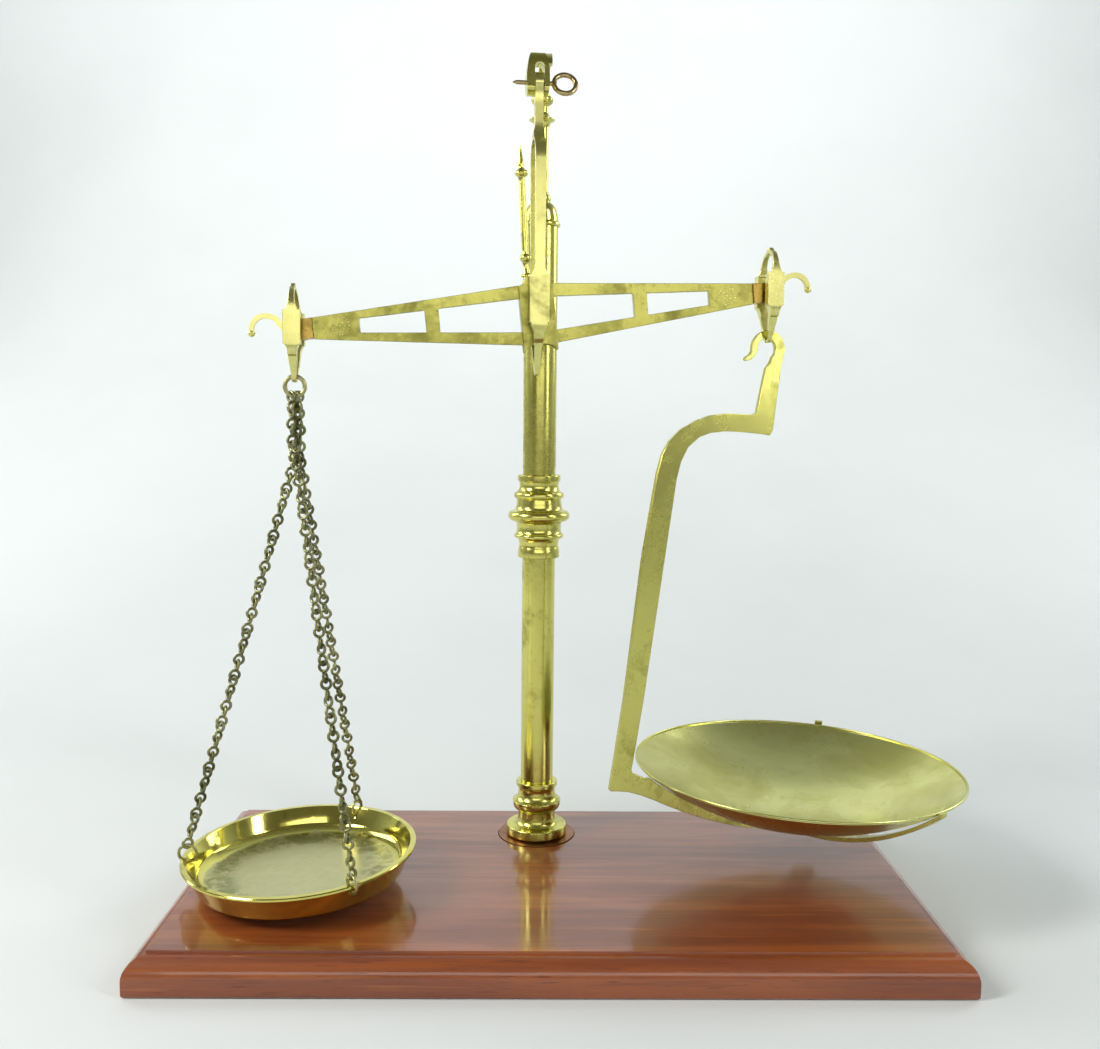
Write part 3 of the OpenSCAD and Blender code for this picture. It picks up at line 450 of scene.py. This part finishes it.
# ---------- assembly ----------

mat_brass = brass("brass_polished", (0.64, 0.60, 0.16), (0.36, 0.34, 0.075),
                  0.20)
# Beam plates: base colours are set well below the other brass as painted shade, standing for the dim
# look the flat plates get from reflecting the dark room in front; the tarnish clouds and spots on top
# are the plates' own wear
mat_plate_tarnish_and_shade = brass("brass_plate_tarnish_and_shade", (0.40, 0.38, 0.095), (0.24, 0.235, 0.052),
                  0.25, 0.62, (900, 900, 900), 0.6)
mat_arm = brass("brass_arm", (0.58, 0.55, 0.15), (0.36, 0.35, 0.08),
                0.24, 0.5, (600, 600, 600), 0.4)
mat_boss = brass("brass_boss", (0.40, 0.28, 0.07), (0.22, 0.14, 0.04),
                 0.24, 0.6)
mat_satin = brass("brass_satin", (0.70, 0.67, 0.24), (0.44, 0.42, 0.12),
                  0.27, 0.35, (700, 700, 700), 0.2)
mat_aged = brass("brass_aged", (0.42, 0.40, 0.20), (0.20, 0.20, 0.09),
                 0.34, 0.75, (900, 900, 900), 0.7)
mat_chain = brass("brass_chain", (0.30, 0.30, 0.15), (0.11, 0.115, 0.05),
                  0.30, 0.8, (900, 900, 900), 0.8)
mat_pin = brass("brass_pin", (0.46, 0.36, 0.18), (0.28, 0.20, 0.10),
                0.24, 0.5)
mat_disc = brass("brass_browned", (0.30, 0.13, 0.05), (0.16, 0.06, 0.025),
                 0.28, 0.6)
mat_dish = dish_brass("brass_dish")
mat_steel = steel("steel_ground")
mat_agate = agate("agate_polished")
mat_wood = mahogany("mahogany_varnished")
mat_mark = brass("brass_mark", (0.72, 0.70, 0.30), (0.5, 0.48, 0.2), 0.25, 0.3)

pan_low, pan_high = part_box("weights_pan")
pan_centre = middle("weights_pan")
mat_pan = weights_pan_brass("brass_pan", tuple(pan_centre), 0.80 * (pan_high[0] - pan_low[0]) / 2)

PLATE = ("beam_plate", "centre_cheek_front", "centre_cheek_rear")
ROUND = ("pillar_foot", "lower_tube", "pillar_knop", "upper_tube", "tube_cap",
         "upper_stem", "pointer", "head_bracket")
SATIN = ("shears_head", "shears_front_leg", "shears_rear_leg", "left_stirrup_front",
         "left_stirrup_rear", "right_stirrup_front", "right_stirrup_rear")
ARM = ("goods_arm", "spider_hub", "support_arm_front", "support_arm_back")

for node_name in PLATE:
    refined(node_name, mat_plate_tarnish_and_shade)
refined("end_bosses", mat_boss)
refined("end_curls", mat_satin)
for node_name in ROUND:
    refined(node_name, mat_brass)
for node_name in SATIN:
    refined(node_name, mat_satin, 0.3 * MM, 30)
for node_name in ARM:
    refined(node_name, mat_arm, 0.35 * MM)
refined("foot_plate", mat_disc)
refined("ring_pin", mat_pin, 0.15 * MM)
refined("top_ring", mat_aged, 0.1 * MM)
refined("rim_rings", mat_aged, 0.1 * MM)
refined("weights_pan", mat_pan, 0.3 * MM)
refined("goods_pan", mat_dish, 0.1 * MM)
refined("base_board", mat_wood, 0.5 * MM, 30)
build_chains(mat_chain)
build_rosettes(mat_mark)

LEFT_AS_CAD = {"steel": mat_steel, "agate": mat_agate}
for node_name, node in nodes.items():
    if SLOTS[node_name] in LEFT_AS_CAD:
        node.data.materials.clear()
        node.data.materials.append(LEFT_AS_CAD[SLOTS[node_name]])


# ---------- studio ----------

def build_backdrop(material):
    """Pale floor that curves up into a wall well behind the scale."""
    wall_y, bend, half, top, front = 2.1, 1.7, 4.0, 3.2, -4.0
    profile = [(front, 0.0), (wall_y - bend, 0.0)]
    profile += [(wall_y - bend + bend * math.sin(a), bend * (1 - math.cos(a)))
                for a in (math.pi / 2 * i / 32 for i in range(1, 33))]
    profile.append((wall_y, top))
    form = bmesh.new()
    rows = [[form.verts.new((x, y, z)) for x in (-half, half)] for y, z in profile]
    for a, b in zip(rows, rows[1:]):
        form.faces.new((a[0], a[1], b[1], b[0]))
    data = bpy.data.meshes.new("backdrop")
    form.to_mesh(data)
    form.free()
    data.polygons.foreach_set("use_smooth", [True] * len(data.polygons))
    backdrop = bpy.data.objects.new("backdrop", data)
    bpy.context.scene.collection.objects.link(backdrop)
    data.materials.append(material)


def add_light(name, place, target, size, watts, colour):
    lamp = bpy.data.lights.new(name, "AREA")
    lamp.shape = "RECTANGLE"
    lamp.size, lamp.size_y = size
    lamp.energy = watts
    lamp.color = colour
    holder = bpy.data.objects.new(name, lamp)
    holder.location = place
    holder.rotation_euler = (Vector(target) - Vector(place)).to_track_quat("-Z", "Y").to_euler()
    bpy.context.scene.collection.objects.link(holder)


def build_world():
    """Even studio surroundings: pale behind and above the scale, dark behind the camera."""
    world = bpy.data.worlds.new("studio")
    bpy.context.scene.world = world
    world.use_nodes = True
    tree = world.node_tree
    sky = tree.nodes["Background"]
    place = tree.nodes.new("ShaderNodeTexCoord")
    split = tree.nodes.new("ShaderNodeSeparateXYZ")
    ramp = tree.nodes.new("ShaderNodeValToRGB")
    spread = tree.nodes.new("ShaderNodeMapRange")
    lean = tree.nodes.new("ShaderNodeMath")
    lean.operation = "MULTIPLY_ADD"
    tree.links.new(place.outputs["Generated"], split.inputs["Vector"])
    tree.links.new(split.outputs["Z"], lean.inputs[0])
    lean.inputs[1].default_value = -0.55
    tree.links.new(split.outputs["Y"], lean.inputs[2])
    tree.links.new(lean.outputs["Value"], spread.inputs["Value"])
    spread.inputs["From Min"].default_value = -1
    spread.inputs["From Max"].default_value = 1
    tree.links.new(spread.outputs["Result"], ramp.inputs["Fac"])
    tree.links.new(ramp.outputs["Color"], sky.inputs["Color"])
    stops = ramp.color_ramp.elements
    stops[0].position, stops[0].color = 0.10, (0.20, 0.195, 0.15, 1)
    stops[1].position, stops[1].color = 0.62, (0.78, 0.86, 0.88, 1)
    middle_stop = stops.new(0.34)
    middle_stop.color = (0.30, 0.32, 0.30, 1)
    sky.inputs["Strength"].default_value = 0.75


def build_camera():
    """A nearly level view from a little above the middle of the scale."""
    place = Vector((-10.94, -659.96, 308.35)) * MM
    yaw, down, roll = math.radians(0.758), math.radians(5.694), math.radians(-0.533)
    ahead = Vector((math.sin(yaw) * math.cos(down), math.cos(yaw) * math.cos(down), -math.sin(down)))
    right = Vector((math.cos(yaw), -math.sin(yaw), 0))
    below = ahead.cross(right)
    across = right * math.cos(roll) + below * math.sin(roll)
    drop = below * math.cos(roll) - right * math.sin(roll)
    data = bpy.data.cameras.new("camera")
    data.sensor_width = 36
    data.lens = 35.36
    data.clip_start = 0.05
    data.clip_end = 50
    camera = bpy.data.objects.new("camera", data)
    axes = Matrix((across, -drop, -ahead)).transposed()
    camera.matrix_world = Matrix.Translation(place) @ axes.to_4x4()
    bpy.context.scene.collection.objects.link(camera)
    bpy.context.scene.camera = camera


build_backdrop(floor_paper("floor_paper"))
build_world()
LOOK = (0, 0, 0.2)
LIGHTS = (
    ("key_left", (-1.30, -0.60, 1.10), LOOK, (0.40, 0.75), 22, (1.0, 0.99, 0.96)),
    ("fill_right", (1.15, -0.75, 0.85), LOOK, (0.30, 1.0), 8, (0.97, 0.99, 1.0)),
    ("front", (0.10, -1.9, 0.65), LOOK, (1.9, 0.45), 6.5, (1.0, 0.99, 0.95)),
    ("back_left", (-1.55, 0.75, 1.0), LOOK, (0.6, 1.0), 9, (0.98, 1.0, 1.0)),
    ("back_right", (1.5, 0.8, 0.9), LOOK, (0.5, 0.9), 7, (0.98, 1.0, 1.0)),
    ("wall_wash", (0, 0.9, 1.75), (0, 2.1, 1.25), (3.4, 0.5), 28, (0.95, 0.99, 1.0)),
)
for light in LIGHTS:
    add_light(*light)
bpy.context.scene.view_settings.view_transform = "Standard"
build_camera()

bpy.context.view_layer.update()
